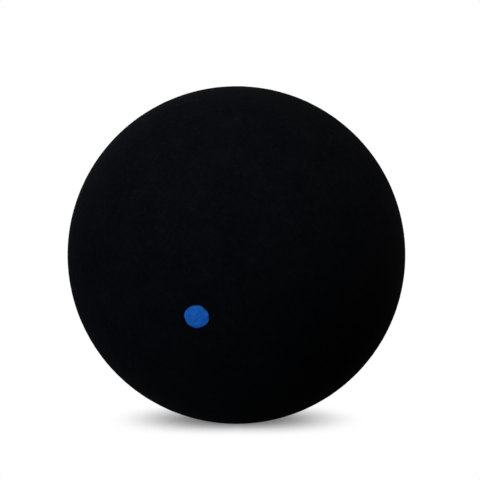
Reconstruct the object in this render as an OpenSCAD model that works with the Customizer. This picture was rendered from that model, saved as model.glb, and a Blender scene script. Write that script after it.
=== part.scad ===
// Hollow rubber court ball: two moulded halves cemented rim to rim, with one printed dot.
// The ball's middle is the origin and +Z is up. The seam lies in the plane of X and Z, so the
// front half faces -Y and the rear half faces +Y.

/* [Ball] */
// Outer diameter of the ball
ball_d = 40; // [30:0.5:80]
// Thickness of the rubber wall
wall = 5.22; // [2:0.01:10]

/* [Seam] */
// Thickness of the cement between the two rims
cement_t = 0.16; // [0.04:0.02:0.6]
// Radius of the bead of cement that is squeezed out into the hollow
bead_r = 0.45; // [0.35:0.05:1.2]

/* [Dot] */
// Diameter of the printed dot
dot_d = 2.9; // [1:0.1:8]
// Thickness of the dot's ink
ink_t = 0.05; // [0.04:0.01:0.2]
// Turn of the dot from the front towards -X, in degrees
dot_turn = 13.6; // [-60:0.1:60]
// Fall of the dot below the ball's middle, in degrees
dot_fall = 13.2; // [-60:0.1:60]

/* [Hidden] */
$fn = 240;
rubber_colour = [0.045, 0.047, 0.052];
cement_colour = [0.075, 0.07, 0.062];
ink_colour = [0.08, 0.3, 0.61];
ball_r = ball_d / 2;
hollow_r = ball_r - wall;
rim_y = cement_t / 2;
// How far the film between the rims runs into the bead
film_root = bead_r / 2;

// One rubber half about the Z axis. Its flat rim faces -Z, and half of the cement's gap is left free.
module rubber_half() {
  rotate_extrude() {
    intersection() {
      difference() {
        circle(ball_r);
        circle(hollow_r);
      }
      translate([0, rim_y]) square(ball_r);
    }
  }
}

module front_half_shell() {
  color(rubber_colour) rotate([90, 0, 0]) rubber_half();
}

module rear_half_shell() {
  color(rubber_colour) rotate([-90, 0, 0]) rubber_half();
}

// The film that joins the rims, flush with the ball outside, and the bead that stands in the hollow
module cement_outline() {
  intersection() {
    circle(ball_r);
    translate([hollow_r - film_root, -rim_y]) square([wall + film_root, cement_t]);
  }
  intersection() {
    circle(hollow_r);
    translate([hollow_r, 0]) circle(bead_r);
  }
}

module seam_cement() {
  color(cement_colour) rotate([90, 0, 0]) rotate_extrude() cement_outline();
}

// A round patch of ink of one thickness, face to face with the rubber that it is printed on
module speed_dot() {
  color(ink_colour) rotate([90 + dot_fall, 0, -dot_turn]) {
    intersection() {
      difference() {
        sphere(ball_r + ink_t);
        sphere(ball_r);
      }
      cylinder(h = ball_r + 2 * ink_t, d = dot_d);
    }
  }
}

front_half_shell();
rear_half_shell();
seam_cement();
speed_dot();
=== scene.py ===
import math
import random

import bmesh
import bpy
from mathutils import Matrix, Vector, kdtree, noise


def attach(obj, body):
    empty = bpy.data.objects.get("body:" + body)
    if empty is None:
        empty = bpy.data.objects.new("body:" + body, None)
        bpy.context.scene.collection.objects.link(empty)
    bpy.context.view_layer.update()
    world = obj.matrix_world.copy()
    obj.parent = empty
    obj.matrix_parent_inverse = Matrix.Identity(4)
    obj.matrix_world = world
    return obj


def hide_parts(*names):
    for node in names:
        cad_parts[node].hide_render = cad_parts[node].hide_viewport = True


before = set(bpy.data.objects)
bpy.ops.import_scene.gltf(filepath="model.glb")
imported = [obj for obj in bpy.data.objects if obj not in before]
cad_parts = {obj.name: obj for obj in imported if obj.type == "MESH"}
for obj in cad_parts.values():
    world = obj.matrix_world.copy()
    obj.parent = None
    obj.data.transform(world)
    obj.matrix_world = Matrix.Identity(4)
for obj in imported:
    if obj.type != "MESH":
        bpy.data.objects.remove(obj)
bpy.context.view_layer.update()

MM = 0.001

# Sizes of the ball, the same as in its source
BALL_R = 20.0 * MM
HOLLOW_R = BALL_R - 5.22 * MM
CEMENT_T = 0.16 * MM
BEAD_R = 0.45 * MM
DOT_R = 1.45 * MM
INK_T = 0.05 * MM
DOT_TURN = math.radians(13.6)
DOT_FALL = math.radians(13.2)

# The dot's own axes: out of the ball through its middle, up over the rubber, and to the right seen from
# the front
DOT_OUT = Vector((
    -math.sin(DOT_TURN) * math.cos(DOT_FALL),
    -math.cos(DOT_TURN) * math.cos(DOT_FALL),
    -math.sin(DOT_FALL),
))
DOT_UP = (Vector((0, 0, 1)) - DOT_OUT * DOT_OUT.z).normalized()
DOT_RIGHT = DOT_UP.cross(DOT_OUT)

FRONT, REAR = -1, 1


def ease(value, low, high):
    """0 up to low, 1 from high on, and a soft step between them."""
    share = min(max((value - low) / (high - low), 0.0), 1.0)
    return share * share * (3.0 - 2.0 * share)


# The camera. The ball's middle is seen off the picture's middle, in pixels from the top left.
PICTURE_SIDE = 480
BALL_MIDDLE_SEEN_AT = (236.45, 255.0)
SENSOR_MM = 36.0
LENS_MM = 316.9
CAMERA_AWAY = 0.5
CAMERA_RISE = math.radians(7.7)
SEES_FROM = 0.01
SEES_TO = 20.0


def place_camera():
    """A long lens in front of the ball, a little above it. The ball stands off the picture's middle."""
    back = Vector((0, -math.cos(CAMERA_RISE), math.sin(CAMERA_RISE)))
    right = Vector((1, 0, 0))
    up = back.cross(right)
    pixels_per_metre = PICTURE_SIDE * LENS_MM / SENSOR_MM / CAMERA_AWAY
    middle = PICTURE_SIDE / 2
    aim = (
        right * (middle - BALL_MIDDLE_SEEN_AT[0]) + up * (BALL_MIDDLE_SEEN_AT[1] - middle)
    ) / pixels_per_metre
    lens = bpy.data.cameras.new("camera")
    lens.sensor_width = SENSOR_MM
    lens.lens = LENS_MM
    lens.clip_start = SEES_FROM
    lens.clip_end = SEES_TO
    camera = bpy.data.objects.new("camera", lens)
    camera.location = back * CAMERA_AWAY
    camera.rotation_mode = "QUATERNION"
    camera.rotation_quaternion = (aim - camera.location).to_track_quat("-Z", "Y")
    bpy.context.scene.collection.objects.link(camera)
    bpy.context.scene.camera = camera


# Shader sums


class Socket:
    """An output of a node. A sum written on it adds its Math nodes."""

    def __init__(self, nodes, out):
        self.nodes = nodes
        self.out = out

    def sum(self, operation, *terms):
        return self.nodes.add("ShaderNodeMath", {"operation": operation}, dict(enumerate(terms)))

    def __add__(self, other):
        return self.sum("ADD", self, other)

    def __sub__(self, other):
        return self.sum("SUBTRACT", self, other)

    def __rsub__(self, other):
        return self.sum("SUBTRACT", other, self)

    def __mul__(self, other):
        return self.sum("MULTIPLY", self, other)

    __radd__ = __add__
    __rmul__ = __mul__


class Nodes:
    """Adds the nodes of one material, or of the world."""

    def __init__(self, tree):
        self.tree = tree
        tree.nodes.clear()

    def pick(self, sockets, name):
        """A socket by its number, or the first live one with that name, or the first live one of all."""
        if isinstance(name, int):
            return sockets[name]
        return next(s for s in sockets if s.enabled and name in (None, s.name))

    def add(self, kind, settings=None, sockets=None, output=None):
        """Adds one node: its settings first, then the values or links of its sockets."""
        node = self.tree.nodes.new(kind)
        for name, value in (settings or {}).items():
            setattr(node, name, value)
        for name, value in (sockets or {}).items():
            socket = self.pick(node.inputs, name)
            if isinstance(value, Socket):
                self.tree.links.new(value.out, socket)
            else:
                socket.default_value = value
        return Socket(self, self.pick(node.outputs, output) if node.outputs else None)

    def place(self, stretch=(1, 1, 1), shift=(0, 0, 0)):
        """The piece's own coordinates, in millimetres."""
        spot = self.add("ShaderNodeTexCoord", output="Object")
        scale = [s / MM for s in stretch]
        return self.add(
            "ShaderNodeMapping", {}, {"Vector": spot, "Scale": scale, "Location": shift}
        )

    def cloud(self, place, size, detail=2.0):
        """Noise whose lumps are about size millimetres apart, from 0 to 1."""
        return self.add(
            "ShaderNodeTexNoise",
            {},
            {"Vector": place, "Scale": 1.0 / size, "Detail": detail, "Roughness": 0.55},
        )

    def pores(self, place, apart, radius):
        """0 in the middle of small pores and 1 off them. They are about apart millimetres from each other."""
        away = self.add(
            "ShaderNodeTexVoronoi",
            {"feature": "F1"},
            {"Vector": place, "Scale": 1.0 / apart},
            output="Distance",
        )
        return self.step(away, 0.2 * radius / apart, radius / apart)

    def step(self, value, low, high, bottom=0.0, top=1.0):
        """A soft step from bottom to top while value goes from low to high."""
        return self.add(
            "ShaderNodeMapRange",
            {"interpolation_type": "SMOOTHSTEP"},
            {"Value": value, "From Min": low, "From Max": high, "To Min": bottom, "To Max": top},
        )

    def tint(self, share, first, second):
        """The first colour where share is 0, and the second where it is 1."""
        ends = {"Factor": share}
        for name, colour in (("A", first), ("B", second)):
            ends[name] = colour if isinstance(colour, Socket) else (*colour, 1.0)
        return self.add("ShaderNodeMix", {"data_type": "RGBA"}, ends)

    def bump(self, height, depth, under=None):
        """Turns a height from 0 to 1 into relief that is depth metres deep."""
        sockets = {"Height": height, "Distance": depth}
        if under:
            sockets["Normal"] = under
        return self.add("ShaderNodeBump", {}, sockets)

    def attribute(self, name):
        return self.add("ShaderNodeAttribute", {"attribute_name": name}, output="Fac")


def finish_material(name, dress):
    """Makes a material. dress takes its nodes and gives the sockets of its Principled shader."""
    material = bpy.data.materials.new(name)
    material.use_nodes = True
    nodes = Nodes(material.node_tree)
    shader = nodes.add("ShaderNodeBsdfPrincipled", {}, dress(nodes))
    nodes.add("ShaderNodeOutputMaterial", {}, {"Surface": shader})
    return material


# Colours and shine of the rubber, the cement and the ink
RUBBER_DEEP = (0.0014, 0.0016, 0.0020)
RUBBER_WORN = (0.0029, 0.0032, 0.0039)
MOULDED_DEEP = (0.0034, 0.0035, 0.0037)
MOULDED_PALE = (0.0056, 0.0057, 0.0060)
CEMENT_DEEP = (0.0020, 0.0020, 0.0020)
CEMENT_PALE = (0.0044, 0.0043, 0.0042)
INK_DEEP = (0.0042, 0.0585, 0.286)
INK_PALE = (0.0150, 0.1090, 0.428)
INK_COOL = (0.0065, 0.0980, 0.310)
INK_THIN = (0.0022, 0.0088, 0.0330)

RUBBER_SHINE = 0.0008
RUBBER_DUST = 0.004
RUBBER_DUST_SPREAD = 0.5
MOULDED_SHINE = 0.0030
CEMENT_SHINE = 0.0045
INK_SHINE = 0.022

# How deep the relief is that is too fine for the mesh
BUFFED_BUMP = 0.030 * MM
SEAM_LINES_BUMP = 0.009 * MM
MOULDED_BUMP = 0.006 * MM
CEMENT_BUMP = 0.015 * MM
INK_BUMP = 0.008 * MM


def buffed_rubber(nodes):
    """The ball's outside: a fine leathery grain left by the mould and dulled by buffing."""
    place = nodes.place()
    crest = nodes.attribute("crest")
    seam = nodes.attribute("seam")
    mottle = nodes.cloud(place, 3.6, 3.0)
    speckle = nodes.cloud(place, 0.26, 6.0)
    grain = nodes.cloud(place, 0.11, 4.0)
    lines = nodes.cloud(nodes.place((0.7, 14.0, 0.7)), 1.0, 3.0)
    off_pore = nodes.pores(place, 0.42, 0.07)
    # The rubber comes out paler on the grain's crests and beside the seam, where buffing wore it, strays in
    # tone at random, and comes out darker in the pores.
    marks = crest * 0.2 + speckle * 0.33 + grain * 0.22 + mottle * 0.33
    paleness = nodes.step(marks + seam * 0.1 + off_pore * 0.15, 0.45, 0.90)
    fine = nodes.bump(grain * 0.7 + off_pore * 0.3, BUFFED_BUMP)
    return {
        "Base Color": nodes.tint(paleness, RUBBER_DEEP, RUBBER_WORN),
        "Roughness": 0.88 + speckle * 0.06 + mottle * 0.10 - crest * 0.06,
        "Specular IOR Level": RUBBER_SHINE,
        "Sheen Weight": RUBBER_DUST,
        "Sheen Roughness": RUBBER_DUST_SPREAD,
        "Normal": nodes.bump(lines * seam, SEAM_LINES_BUMP, under=fine),
    }


def moulded_rubber(nodes):
    """The flat rims and the wall of the hollow, as they came out of the mould."""
    place = nodes.place()
    mottle = nodes.cloud(place, 3.0)
    grain = nodes.cloud(place, 0.25)
    return {
        "Base Color": nodes.tint(nodes.step(mottle + grain * 0.4, 0.4, 1.0), MOULDED_DEEP, MOULDED_PALE),
        "Roughness": 0.52 + mottle * 0.18 + grain * 0.10,
        "Specular IOR Level": MOULDED_SHINE,
        "Normal": nodes.bump(grain, MOULDED_BUMP),
    }


def dried_cement(nodes):
    """The rubber cement at the seam: a little browner and smoother than the rubber, with fine streaks."""
    place = nodes.place()
    streak = nodes.cloud(nodes.place((1.0, 8.0, 1.0)), 0.9, 3.0)
    lump = nodes.cloud(place, 0.45)
    return {
        "Base Color": nodes.tint(nodes.step(streak * 0.6 + lump * 0.5, 0.3, 0.8), CEMENT_DEEP, CEMENT_PALE),
        "Roughness": 0.50 + lump * 0.20 + streak * 0.10,
        "Specular IOR Level": CEMENT_SHINE,
        "Normal": nodes.bump(lump * 0.6 + streak * 0.4, CEMENT_BUMP),
    }


def printed_ink(nodes):
    """The dot: matt blue ink, thin at its edge and a little patchy where the grain of the rubber shows."""
    place = nodes.place()
    cover = nodes.attribute("cover")
    crest = nodes.attribute("crest")
    patch = nodes.cloud(place, 0.55)
    drift = nodes.cloud(nodes.place(shift=(5.0, 3.0, 8.0)), 0.42)
    fleck = nodes.cloud(place, 0.16, 3.0)
    blue = nodes.tint(nodes.step(patch * 0.7 + fleck * 0.4 + crest * 0.1, 0.40, 0.78), INK_DEEP, INK_PALE)
    body = nodes.tint(nodes.step(drift, 0.42, 0.66), blue, INK_COOL)
    full = nodes.step(fleck * 0.5 + patch * 0.2 + cover * 0.9, 0.42, 0.78)
    return {
        "Base Color": nodes.tint(full, INK_THIN, body),
        "Roughness": 0.58 + fleck * 0.16 + patch * 0.08,
        "Specular IOR Level": INK_SHINE,
        "Normal": nodes.bump(fleck, INK_BUMP),
    }


# Relief of the outside. SEAM_CALM is how much of the grain is left beside the seam, and OUTSIDE_LOSS keeps
# all of the outside a little under its full radius.
SWAY_DEPTH = 0.020 * MM
PEBBLE_DEPTH = 0.018 * MM
GRAIN_DEPTH = 0.006 * MM
GROOVE_DEPTH = 0.034 * MM
GROOVE_HALF = 0.17 * MM
BAND_FROM, BAND_TO = 0.45 * MM, 1.15 * MM
SEAM_CALM = 0.35
OUTSIDE_LOSS = 0.006 * MM

# The noise behind it: how far apart its lumps are, in millimetres, and shifts that keep one cloud of noise
# from following another
SWAY_LUMPS, SWAY_SHIFT = 11.0, Vector((3.1, 8.7, 5.2))
PEBBLE_LUMPS = 0.80
SMALL_LUMPS, SMALL_SHIFT = 0.52, Vector((7.3, 1.9, 4.4))
GRAIN_LUMPS, GRAIN_SHIFT = 0.5, Vector((2.6, 6.1, 9.4))
SIDES_APART = 40.0
# How strongly the two sizes of lump show in the leathery grain, and how round its valleys are
PEBBLE_SHARE = 1.4
SMALL_SHARE = 0.7
VALLEY_ROUND = 0.004

# The rim's edge over its half of the cement: 1 where none is covered. Waves are how strong and how long, in
# millimetres.
SMEAR_MEAN = 0.58
SMEAR_WAVES = ((0.60, 2.6), (0.35, 0.8))
LEAST_GAP = 0.2

# The dents: how many, and between what radii and depths, in millimetres
DENTS = 70
DENT_RADII = (0.22, 0.46)
DENT_DEPTHS = (0.010, 0.024)
DENT_DRAW = 40

rng = random.Random(DENT_DRAW)


def loose_way():
    """An even random way from the ball's middle."""
    height = rng.uniform(-1.0, 1.0)
    turn = rng.uniform(0.0, 2.0 * math.pi)
    width = math.sqrt(1.0 - height * height)
    return Vector((width * math.cos(turn), width * math.sin(turn), height))


def scatter_dents():
    """Small shallow dents, none of them in the dot or on the seam: their ways, widths and depths."""
    dents = []
    while len(dents) < DENTS:
        way = loose_way()
        radius = rng.uniform(*DENT_RADII) * MM
        depth = rng.uniform(*DENT_DEPTHS) * MM
        if way.dot(DOT_OUT) < math.cos(3 * DOT_R / BALL_R) and abs(way.y) * BALL_R > 2 * BAND_TO:
            dents.append((way, radius, depth))
    return dents


dents = scatter_dents()
dent_tree = kdtree.KDTree(DENTS)
for number, dent in enumerate(dents):
    dent_tree.insert(dent[0], number)
dent_tree.balance()


def pebble(way):
    """The leathery grain at one way from the ball's middle: soft lumps with finer valleys, from 0 to 1."""
    spot = way * (BALL_R / MM)
    lump = noise.noise(spot / PEBBLE_LUMPS)
    small = noise.noise(spot / SMALL_LUMPS + SMALL_SHIFT)
    square = lump * lump * PEBBLE_SHARE + small * small * SMALL_SHARE + VALLEY_ROUND
    return min(math.sqrt(square), 1.0)


def relief(way):
    """How far the outside lies from the ball's full radius, at one way from its middle: never above it."""
    spot = way * (BALL_R / MM)
    off_seam = abs(way.y) * BALL_R
    calm = SEAM_CALM + (1.0 - SEAM_CALM) * ease(off_seam, BAND_FROM, BAND_TO)
    sway = 0.5 + 0.5 * noise.noise(spot / SWAY_LUMPS + SWAY_SHIFT)
    grain = 0.5 + 0.5 * noise.noise(spot / GRAIN_LUMPS + GRAIN_SHIFT)
    low = OUTSIDE_LOSS + SWAY_DEPTH * min(max(sway, 0.0), 1.0)
    low += calm * (PEBBLE_DEPTH * (1.0 - pebble(way)) + GRAIN_DEPTH * (1.0 - grain))
    low += GROOVE_DEPTH * math.exp(-((off_seam / GROOVE_HALF) ** 2))
    _, number, gap = dent_tree.find(way)
    _, radius, depth = dents[number]
    low += depth * (1.0 - ease(gap * BALL_R, 0.0, radius))
    return -low


def unevenness(spot, mean, waves):
    """Noise about a mean. Each wave is how strong it is and how long, in millimetres."""
    return mean + sum(strength * noise.noise(spot / length) for strength, length in waves)


def seam_edge(turn, side):
    """The outer edge of one half's rim at one turn round the seam, smeared over the cement by buffing."""
    way = Vector((math.cos(turn), 0, math.sin(turn)))
    spot = way * (BALL_R / MM) + Vector((0, SIDES_APART * side, 0))
    share = unevenness(spot, SMEAR_MEAN, SMEAR_WAVES)
    gap = CEMENT_T / 2 * min(max(share, LEAST_GAP), 1.0)
    way = Vector((way.x, side * gap / BALL_R, way.z)).normalized()
    return way * (BALL_R + relief(way))


# The two halves. A point counts as lying on a plane or a wall when it is no further off than ON_PLANE. Edges
# whose angle is over SHARP_FROM degrees stay sharp.
SHARP_FROM = 50.0
ON_PLANE = 0.01 * MM
CUT_SLACK = 0.002 * MM
OUTER_CELLS = 168
INNER_CELLS = 36
SEAM_LEVELS = (0.115 * MM, 0.235 * MM, 0.40 * MM)
LEVEL_ROWS_TO = 0.3
ROW_WIDTH = 0.85
MIDDLE_OF_WALL = (BALL_R + HOLLOW_R) / 2
# Where a half lies on its flat map, from 0 to 1: the middle of each disc, on both axes, and its radius
OUTSIDE_DISC = (0.446, 0.440)
INSIDE_DISC = (0.858, 0.137)


def round_cell(spot):
    """Where a spot of the gridded cube goes on a ball of radius 1, with level rows beside the seam."""
    x, y, z = (math.tan(c * math.pi / 4) for c in spot)
    if abs(spot.y) < LEVEL_ROWS_TO:
        row = math.hypot(x, z) * ROW_WIDTH
        y *= row + (1.0 - row) * ease(abs(spot.y), 0.0, LEVEL_ROWS_TO)
    return Vector((x, y, z)).normalized()


def dome(radius, cells, side):
    """Half a ball of that radius, made of the cells of a cube, with its edge level at the rubber's rim."""
    bm = bmesh.new()
    bmesh.ops.create_cube(bm, size=2.0)
    bmesh.ops.subdivide_edges(bm, edges=bm.edges[:], cuts=cells - 1, use_grid_fill=True)
    everything = bm.verts[:] + bm.edges[:] + bm.faces[:]
    bmesh.ops.bisect_plane(
        bm, geom=everything, dist=ON_PLANE, plane_co=(0, 0, 0), plane_no=(0, -side, 0), clear_outer=True
    )
    for vert in bm.verts:
        vert.co = round_cell(vert.co) * radius
    rim_y = side * CEMENT_T / 2
    for vert in bm.verts:
        if abs(vert.co.y) < ON_PLANE:
            across = Vector((vert.co.x, 0, vert.co.z)).normalized()
            vert.co = across * math.sqrt(radius**2 - rim_y**2) + Vector((0, rim_y, 0))
    return bm


def into(bm, part):
    """Moves a bmesh's shape into another one."""
    passing = bpy.data.meshes.new("passing")
    part.to_mesh(passing)
    part.free()
    bm.from_mesh(passing)
    bpy.data.meshes.remove(passing)


def show(name, bm, materials, node):
    """Turns a bmesh into a piece that rides on the ball, in place of its plain node."""
    mesh = bpy.data.meshes.new(name)
    bm.to_mesh(mesh)
    bm.free()
    for material in materials:
        mesh.materials.append(material)
    piece = bpy.data.objects.new(name, mesh)
    bpy.context.scene.collection.objects.link(piece)
    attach(piece, "root")
    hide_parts(node)


def face_out_and_smooth(bm, sharp_from=SHARP_FROM):
    """Turns all faces outwards and shades them smooth, apart from edges with a clear angle."""
    bmesh.ops.recalc_face_normals(bm, faces=bm.faces[:])
    if bm.calc_volume(signed=True) < 0:
        bmesh.ops.reverse_faces(bm, faces=bm.faces[:])
    for face in bm.faces:
        face.smooth = True
    for edge in bm.edges:
        edge.smooth = len(edge.link_faces) == 2 and edge.calc_face_angle() < math.radians(sharp_from)


def lay_flat(bm, side):
    """Gives a half its flat map: a wide disc for the outside, a small one for the inside and the rim."""
    flat = bm.loops.layers.uv.new("OFBake")
    pole = Vector((0, side, 0))
    quarter = math.pi / 2
    for face in bm.faces:
        inside = face.material_index == 1
        middle, radius = INSIDE_DISC if inside else OUTSIDE_DISC
        for loop in face.loops:
            spot = loop.vert.co
            share = pole.angle(spot) / quarter
            if inside:
                on_rim = spot.length > MIDDLE_OF_WALL
                along_rim = math.hypot(spot.x, spot.z) - HOLLOW_R if on_rim else 0.0
                wall_arc = HOLLOW_R * quarter
                share = (wall_arc * share + along_rim) / (wall_arc + BALL_R - HOLLOW_R)
            across = Vector((side * spot.x if inside else -side * spot.x, spot.z)).normalized()
            loop[flat].uv = Vector((middle, middle)) + across * radius * share


def rubber_half(name, side, node, materials):
    """One moulded half: a buffed outside with its relief, a flat rim and a plain wall inside."""
    bm = dome(BALL_R, OUTER_CELLS, side)
    for level in SEAM_LEVELS:
        everything = bm.verts[:] + bm.edges[:] + bm.faces[:]
        bmesh.ops.bisect_plane(
            bm, geom=everything, dist=CUT_SLACK, plane_co=(0, side * level, 0), plane_no=(0, 1, 0)
        )
    crest = bm.verts.layers.float.new("crest")
    seam = bm.verts.layers.float.new("seam")
    for vert in bm.verts:
        way = vert.co.normalized()
        vert[crest] = pebble(way)
        vert[seam] = 1.0 - ease(abs(vert.co.y), BAND_FROM, BAND_TO)
        vert.co = way * (BALL_R + relief(way))
        if vert.is_boundary:
            vert.co = seam_edge(math.atan2(vert.co.z, vert.co.x), side)
    into(bm, dome(HOLLOW_R, INNER_CELLS, side))
    rims = [edge for edge in bm.edges if edge.is_boundary]
    bmesh.ops.bridge_loops(bm, edges=rims)
    for face in bm.faces:
        face.material_index = int(min(vert.co.length for vert in face.verts) < MIDDLE_OF_WALL)
    lay_flat(bm, side)
    face_out_and_smooth(bm)
    show(name, bm, materials, node)


# The cement: how far the line that shows is sunk under the rubber, how full the bead is, and how uneven
# both are
CEMENT_STEPS = 4 * OUTER_CELLS
CEMENT_SUNK = 0.012 * MM
SUNK_MEAN = 0.7
SUNK_WAVES = ((0.5, 1.6), (0.4, 0.6))
BEAD_POINTS = 12
BEAD_MEAN = 0.86
BEAD_WAVES = ((0.20, 5.0), (0.10, 1.7))


def cement_ring(name, materials):
    """The film between the rims and the bead in the hollow, spun about the seam's axis and made uneven."""
    half = CEMENT_T / 2
    outline = [(BALL_R, 0), (BALL_R, half), (HOLLOW_R, half)]
    half_arc = math.acos(BEAD_R / 2 / HOLLOW_R)
    for number in range(BEAD_POINTS + 1):
        turn = math.pi - half_arc + 2 * half_arc * number / BEAD_POINTS
        outline.append((HOLLOW_R + BEAD_R * math.cos(turn), BEAD_R * math.sin(turn)))
    outline += [(HOLLOW_R, -half), (BALL_R, -half)]
    bm = bmesh.new()
    section = [bm.verts.new((x, y, 0)) for x, y in outline]
    ring = [bm.edges.new(pair) for pair in zip(section, section[1:] + section[:1])]
    bmesh.ops.spin(
        bm, geom=section + ring, cent=(0, 0, 0), axis=(0, 1, 0),
        angle=2 * math.pi, steps=CEMENT_STEPS, use_merge=True,
    )
    for vert in bm.verts:
        turn = math.atan2(vert.co.z, vert.co.x)
        way = Vector((math.cos(turn), 0, math.sin(turn)))
        spot = way * (BALL_R / MM)
        from_middle = math.hypot(vert.co.x, vert.co.z)
        outside = from_middle > MIDDLE_OF_WALL
        if outside and abs(vert.co.y) < half / 2:
            sunk = CEMENT_SUNK * unevenness(spot, SUNK_MEAN, SUNK_WAVES)
            vert.co = (seam_edge(turn, FRONT) + seam_edge(turn, REAR)) / 2 - way * sunk
        elif outside:
            vert.co = seam_edge(turn, FRONT if vert.co.y < 0 else REAR)
        elif from_middle < HOLLOW_R - ON_PLANE:
            full = min(unevenness(spot, BEAD_MEAN, BEAD_WAVES), 1.0)
            vert.co = way * (HOLLOW_R - (HOLLOW_R - from_middle) * full) + Vector((0, vert.co.y, 0))
    face_out_and_smooth(bm)
    show(name, bm, materials, "seam_cement")


# The dot. Its ink has EDGE_INK of the full thickness at its edge and MIDDLE_INK further in, and sits
# INK_ROOT deep in the rubber. The rubber shows through it near the edge: fully at the first distance inwards
# of THIN_EDGE, and not at all from the second on.
DOT_STEPS = 120
DOT_RINGS = 26
INK_ROOT = 0.006 * MM
EDGE_WIDTH = 0.24 * MM
EDGE_INK = 0.12
MIDDLE_INK = 0.56
THIN_EDGE = (-0.01 * MM, 0.19 * MM)
SAME_POINT = 0.001 * MM
DOT_SHARP_FROM = 80.0
# The printed edge strays from a circle: how many times round, how much of the radius, and where it peaks,
# in degrees clockwise from the right
EDGE_WAVES = (
    (1, 0.010, -24.0),
    (2, 0.026, -12.0),
    (4, 0.015, 14.0),
    (6, 0.005, -26.0),
    (7, 0.008, -15.0),
    (9, 0.004, 15.0),
)


def dot_edge(turn):
    """The dot's radius at one turn, as a share of the plain one."""
    return 1.0 + sum(
        size * math.cos(times * (turn - math.radians(peak))) for times, size, peak in EDGE_WAVES
    )


def ink_height(inwards):
    """The ink's thickness at a distance inwards from its edge, where it thins out."""
    return INK_T * (EDGE_INK + (MIDDLE_INK - EDGE_INK) * ease(inwards, 0.0, EDGE_WIDTH))


def ink_dot(name, materials):
    """A lens of ink spun about the dot's axis, then laid on the rubber's relief with its uneven edge."""
    rings = [DOT_R * math.sin(math.pi / 2 * number / DOT_RINGS) for number in range(DOT_RINGS + 1)]
    bm = bmesh.new()
    top = [bm.verts.new((radius, 0, 1)) for radius in rings]
    under = [bm.verts.new((radius, 0, 0)) for radius in reversed(rings)]
    line = top + under
    edges = [bm.edges.new(pair) for pair in zip(line, line[1:])]
    bmesh.ops.spin(
        bm, geom=line + edges, cent=(0, 0, 0), axis=(0, 0, 1),
        angle=2 * math.pi, steps=DOT_STEPS, use_merge=True,
    )
    bmesh.ops.remove_doubles(bm, verts=bm.verts[:], dist=SAME_POINT)
    crest = bm.verts.layers.float.new("crest")
    cover = bm.verts.layers.float.new("cover")
    for vert in bm.verts:
        flat = Vector((vert.co.x, vert.co.y))
        is_top = vert.co.z > 0.5
        edge = DOT_R * dot_edge(math.atan2(-flat.y, flat.x))
        share = flat.length / DOT_R
        flat *= 1.0 + (edge / DOT_R - 1.0) * share * share
        inwards = edge - flat.length
        outwards = math.sqrt(BALL_R**2 - flat.length_squared)
        way = (DOT_OUT * outwards + DOT_RIGHT * flat.x + DOT_UP * flat.y).normalized()
        height = ink_height(inwards) if is_top else -INK_ROOT
        vert.co = way * (BALL_R + relief(way) + height)
        vert[crest] = pebble(way)
        vert[cover] = ease(inwards, *THIN_EDGE)
    face_out_and_smooth(bm, DOT_SHARP_FROM)
    show(name, bm, materials, "speed_dot")


# Floor, light and world
FLOOR_HALF = 4.0
FLOOR_COLOUR = (0.06, 0.06, 0.06)
# Each point of the floor looks for light round a line that leans to the front, and in towards the ball's
# middle from either side, which draws the shadow out sideways. It leans in a little less near the middle,
# up to SIDES_FROM millimetres off it, or else a crease would show there. The reach is how near the ball has
# to be to shade the floor. The bend makes the shadow's middle darker, the gain is how fast it clears to
# white, and the fade is how softly it ends there.
FRONT_LEAN = math.tan(math.radians(16.0))
MIDDLE_LEAN = math.tan(math.radians(23.0))
SIDE_LEAN = math.tan(math.radians(26.0))
SIDES_FROM = 3.0
SHADOW_REACH = 11.0 * MM
SHADOW_BEND = 1.464
SHADOW_GAIN = 9.05
SHADOW_FADE = 2.07
SHADOW_RAYS = 32
DOME_LIGHT = 0.29
DOME_COLOUR = (1.10, 1.0, 0.84)
LAMP_AWAY = 0.7
LAMP_SIDE = 0.42
# The soft boxes: how far each stands to the right of the front and above the ball, in degrees, its light
# as a share of the light that shows a colour as it is, and its colour
LAMPS = {
    "softbox_front": (-43, 15, 0.90, (0.88, 1.0, 1.22)),
    "softbox_top": (60, 72, 0.82, (1.03, 1.0, 1.08)),
    "softbox_back": (-160, 5, 0.30, (0.97, 1.0, 1.08)),
}


def seen_directly(nodes):
    """1 where the camera, a gloss or clear glass looks, and 0 for the light that falls on the ball."""
    path = "ShaderNodeLightPath"
    looks = nodes.add(path, output="Is Camera Ray") + nodes.add(path, output="Is Glossy Ray")
    looks += nodes.add(path, output="Is Transmission Ray")
    return looks.sum("MINIMUM", looks, 1.0)


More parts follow.
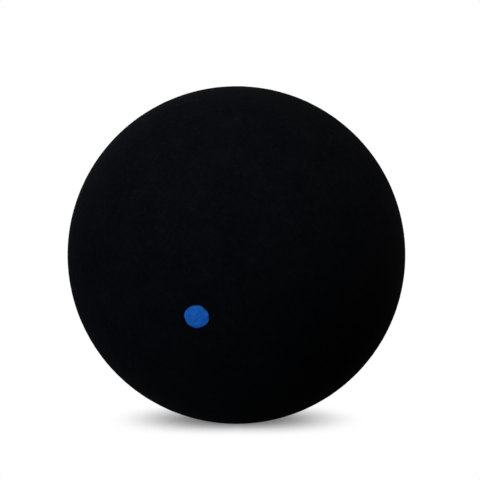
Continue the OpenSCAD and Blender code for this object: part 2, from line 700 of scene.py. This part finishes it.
def white_floor():
    """White to the eye except for the ball's soft shadow, and plain grey to the light. Clear from below."""
    material = bpy.data.materials.new("floor")
    material.use_nodes = True
    nodes = Nodes(material.node_tree)
    across = nodes.add("ShaderNodeSeparateXYZ", {}, {"Vector": nodes.place()}, output="X")
    off_middle = across.sum("ABSOLUTE", across)
    inwards = across.sum("SIGN", across) * nodes.step(off_middle, 0.0, SIDES_FROM, -MIDDLE_LEAN, -SIDE_LEAN)
    line = nodes.add("ShaderNodeCombineXYZ", {}, {"X": inwards, "Y": -FRONT_LEAN, "Z": 1.0})
    line = nodes.add("ShaderNodeVectorMath", {"operation": "NORMALIZE"}, {0: line})
    open_sky = nodes.add(
        "ShaderNodeAmbientOcclusion",
        {"samples": SHADOW_RAYS},
        {"Distance": SHADOW_REACH, "Normal": line},
        output="AO",
    )
    level = open_sky.sum("POWER", open_sky, SHADOW_BEND) * SHADOW_GAIN
    strength = level.sum("SMOOTH_MIN", level, 1.0, SHADOW_FADE)
    white = nodes.add("ShaderNodeEmission", {}, {"Strength": strength})
    grey = nodes.add("ShaderNodeBsdfDiffuse", {}, {"Color": (*FLOOR_COLOUR, 1.0)})
    top = nodes.add("ShaderNodeMixShader", {}, {0: seen_directly(nodes), 1: grey, 2: white})
    clear = nodes.add("ShaderNodeBsdfTransparent")
    below = nodes.add("ShaderNodeNewGeometry", output="Backfacing")
    both = nodes.add("ShaderNodeMixShader", {}, {0: below, 1: top, 2: clear})
    nodes.add("ShaderNodeOutputMaterial", {}, {"Surface": both})
    return material


def lay_floor():
    bm = bmesh.new()
    bmesh.ops.create_grid(bm, x_segments=1, y_segments=1, size=FLOOR_HALF)
    bmesh.ops.translate(bm, verts=bm.verts[:], vec=(0, 0, -BALL_R))
    mesh = bpy.data.meshes.new("floor")
    bm.to_mesh(mesh)
    bm.free()
    mesh.materials.append(white_floor())
    floor = bpy.data.objects.new("floor", mesh)
    bpy.context.scene.collection.objects.link(floor)


def hang_lamp(name, turn, rise, light, colour):
    """One soft box that looks at the ball."""
    turn, rise = math.radians(turn), math.radians(rise)
    way = Vector((math.sin(turn) * math.cos(rise), -math.cos(turn) * math.cos(rise), math.sin(rise)))
    lamp = bpy.data.lights.new(name, "AREA")
    lamp.shape = "SQUARE"
    lamp.size = LAMP_SIDE
    # A white sheet that faces a lamp of this energy shows white where light is 1
    lamp.energy = light * (math.pi * LAMP_AWAY) ** 2
    lamp.color = colour
    box = bpy.data.objects.new(name, lamp)
    box.location = way * LAMP_AWAY
    box.rotation_mode = "QUATERNION"
    box.rotation_quaternion = (-way).to_track_quat("-Z", "Y")
    bpy.context.scene.collection.objects.link(box)


def light_world():
    """An even dome of light, which is plain white where it is looked at."""
    world = bpy.data.worlds.new("studio")
    world.use_nodes = True
    nodes = Nodes(world.node_tree)
    seen = seen_directly(nodes)
    light = nodes.add(
        "ShaderNodeBackground", {}, {"Color": (*DOME_COLOUR, 1.0), "Strength": DOME_LIGHT}
    )
    white = nodes.add("ShaderNodeBackground", {}, {"Color": (1, 1, 1, 1), "Strength": 1.0})
    both = nodes.add("ShaderNodeMixShader", {}, {0: seen, 1: light, 2: white})
    nodes.add("ShaderNodeOutputWorld", {}, {"Surface": both})
    bpy.context.scene.world = world


def build():
    place_camera()
    buffed = finish_material("buffed_rubber", buffed_rubber)
    moulded = finish_material("moulded_rubber", moulded_rubber)
    cement = finish_material("dried_cement", dried_cement)
    ink = finish_material("printed_ink", printed_ink)
    rubber_half("rubber_half_front", FRONT, "front_half_shell", [buffed, moulded])
    rubber_half("rubber_half_rear", REAR, "rear_half_shell", [buffed, moulded])
    cement_ring("cement_ring", [cement])
    ink_dot("ink_dot", [ink])
    lay_floor()
    for name, facts in LAMPS.items():
        hang_lamp(name, *facts)
    light_world()
    bpy.context.scene.view_settings.view_transform = "Standard"


build()
